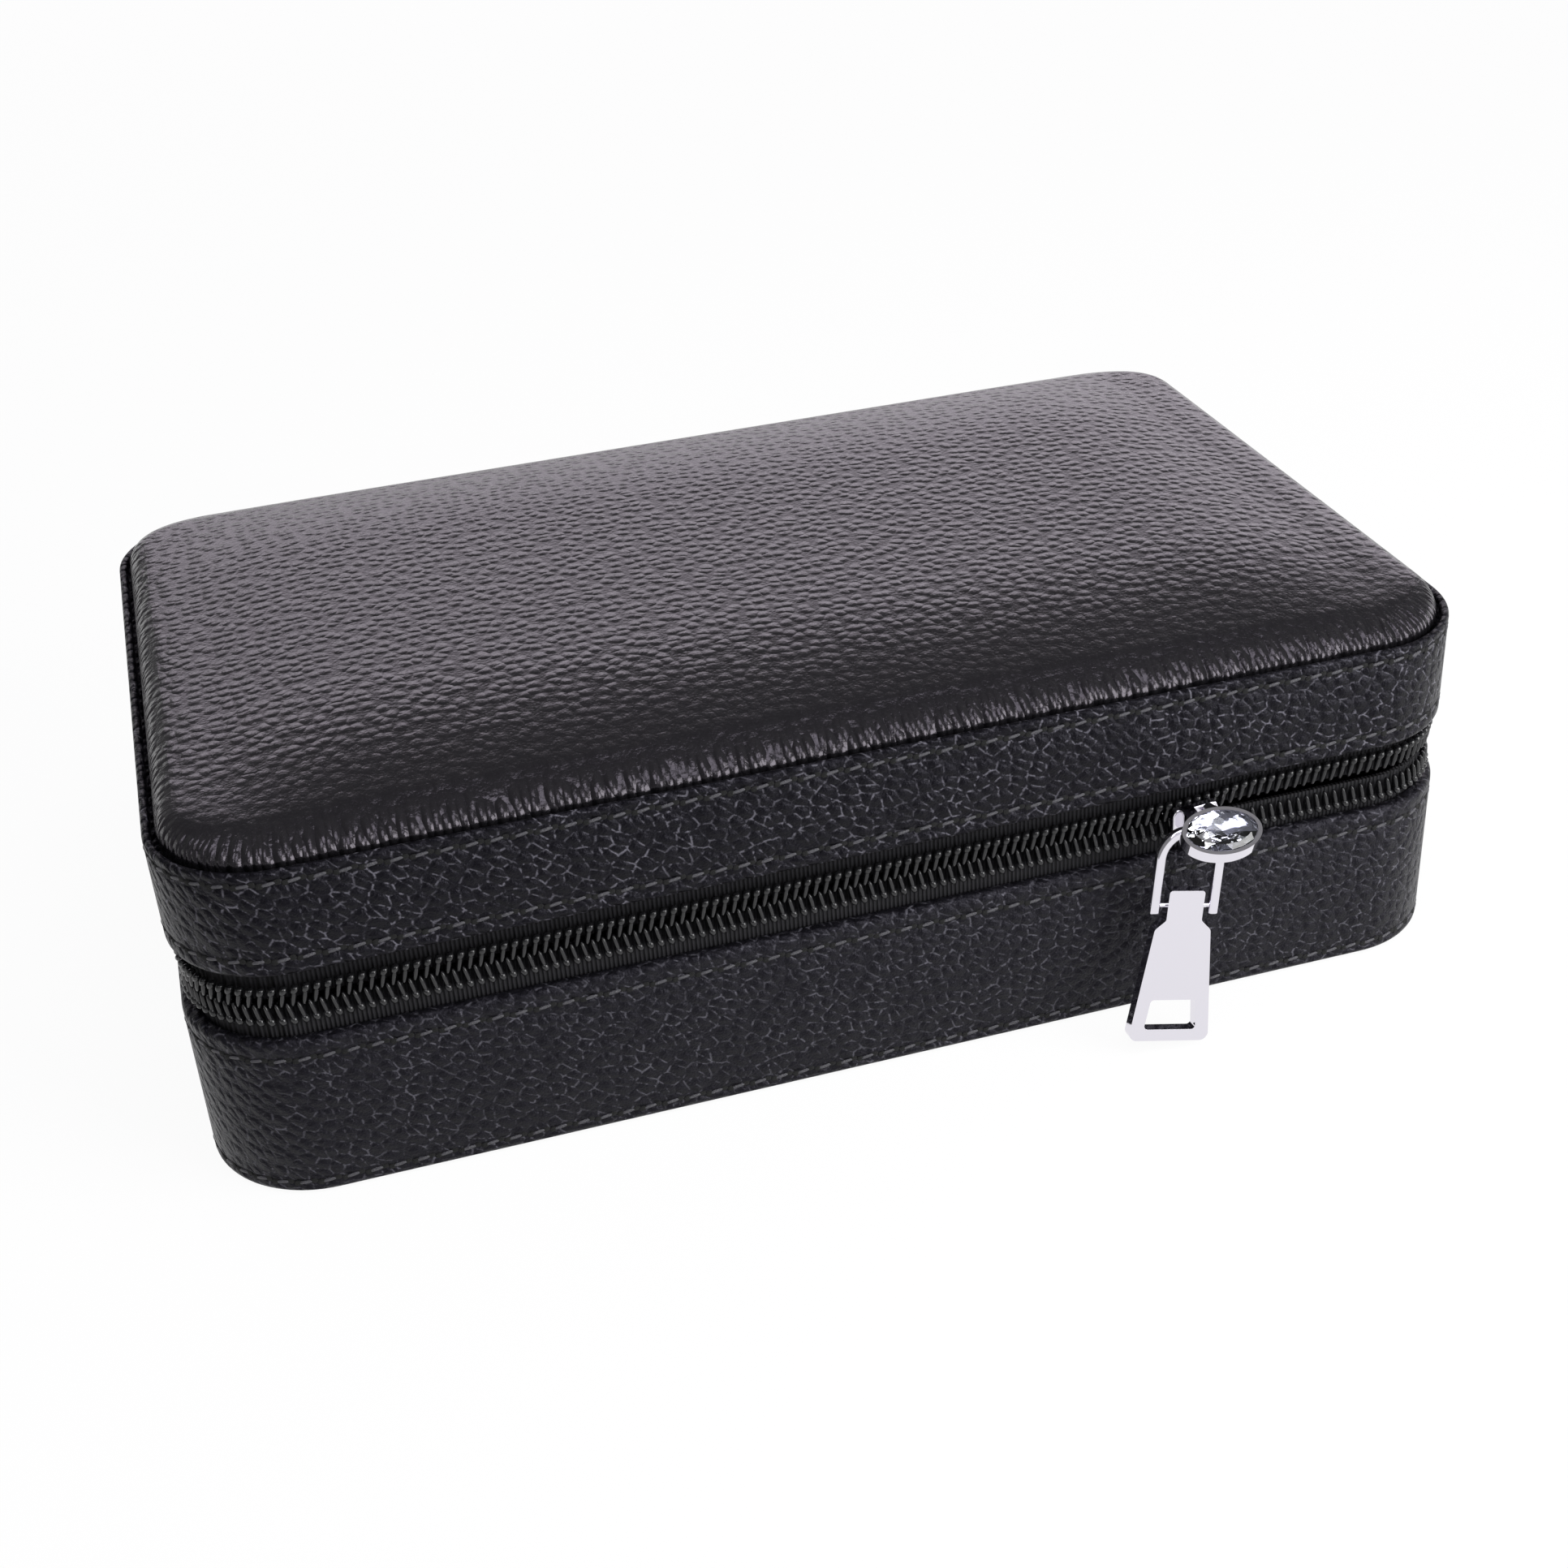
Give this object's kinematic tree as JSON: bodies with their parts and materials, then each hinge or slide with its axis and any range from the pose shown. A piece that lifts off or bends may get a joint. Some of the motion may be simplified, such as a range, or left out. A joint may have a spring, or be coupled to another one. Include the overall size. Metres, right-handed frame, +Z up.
{
  "type": "jewellery case",
  "caption": "Zip-round jewellery case in grained leather: padded lid with mirror, lined base with ring rolls and divided bays, slider with crystal and hanging pull.",
  "frame": {"origin": "centre of the flat underside, on the surface the case stands on", "axes": "+X along the length, -Y towards the zip's front run, +Z up through the padded lid"},
  "size_m": [0.2, 0.1391, 0.0605],
  "materials": {
    "wall_leather": "pebbled, semi-gloss",
    "pad_leather": "pebbled, semi-gloss",
    "foam": "open-cell foam, hidden",
    "stiffener": "black board, hidden",
    "velvet": "short-pile velvet",
    "zip_tape": "woven, ribbed",
    "zip_coil": "nylon, satin",
    "chrome": "polished",
    "crystal": "clear, faceted",
    "mirror": "silvered",
    "mirror_border": "pebbled, semi-gloss"
  },
  "bodies": {
    "base": {"base_wrap": "wall_leather", "base_panel": "wall_leather", "base_board": "stiffener", "base_lining": "velvet", "zip_tape_lower": "zip_tape", "zip_coil_lower": "zip_coil", "hinge_strip_lower": "wall_leather", "partition": "velvet", "bay_divider_1": "velvet", "bay_divider_2": "velvet", "ring_roll_1": "velvet", "ring_roll_2": "velvet", "ring_roll_3": "velvet", "ring_roll_4": "velvet", "ring_roll_5": "velvet", "ring_roll_6": "velvet"},
    "lid": {"lid_wrap": "wall_leather", "lid_board": "stiffener", "lid_lining": "velvet", "lid_pad_foam": "foam", "lid_pad_cover": "pad_leather", "zip_tape_upper": "zip_tape", "zip_coil_upper": "zip_coil", "hinge_strip_upper": "wall_leather", "mirror": "mirror", "mirror_frame": "mirror_border"},
    "slider": {"slider_body": "chrome", "slider_crown": "chrome", "crystal_setting": "chrome", "crystal": "crystal"},
    "bail": {"pull_bail": "chrome", "pull_pin": "chrome"},
    "tab": {"pull_tab": "chrome"}
  },
  "joints": [
    {"name": "lid_hinge", "type": "hinge", "parent": "base", "child": "lid", "pos_m": [0, 0.0599, 0.0329], "axis": [-1, 0, 0], "range_deg": [0, 115]},
    {"name": "slider_travel", "type": "slide", "parent": "base", "child": "slider", "axis": [1, 0, 0], "range_m": [-0.126, 0.024]},
    {"name": "bail_swing", "type": "hinge", "parent": "slider", "child": "bail", "pos_m": [0.0491, -0.0675, 0.0344], "axis": [-0.9802, 0.1066, 0.1667], "range_deg": [-8, 40]},
    {"name": "tab_swing", "type": "hinge", "parent": "bail", "child": "tab", "pos_m": [0.04691, -0.06971, 0.02297], "axis": [-0.9802, 0.1066, 0.1667], "range_deg": [-6, 100]}
  ]
}
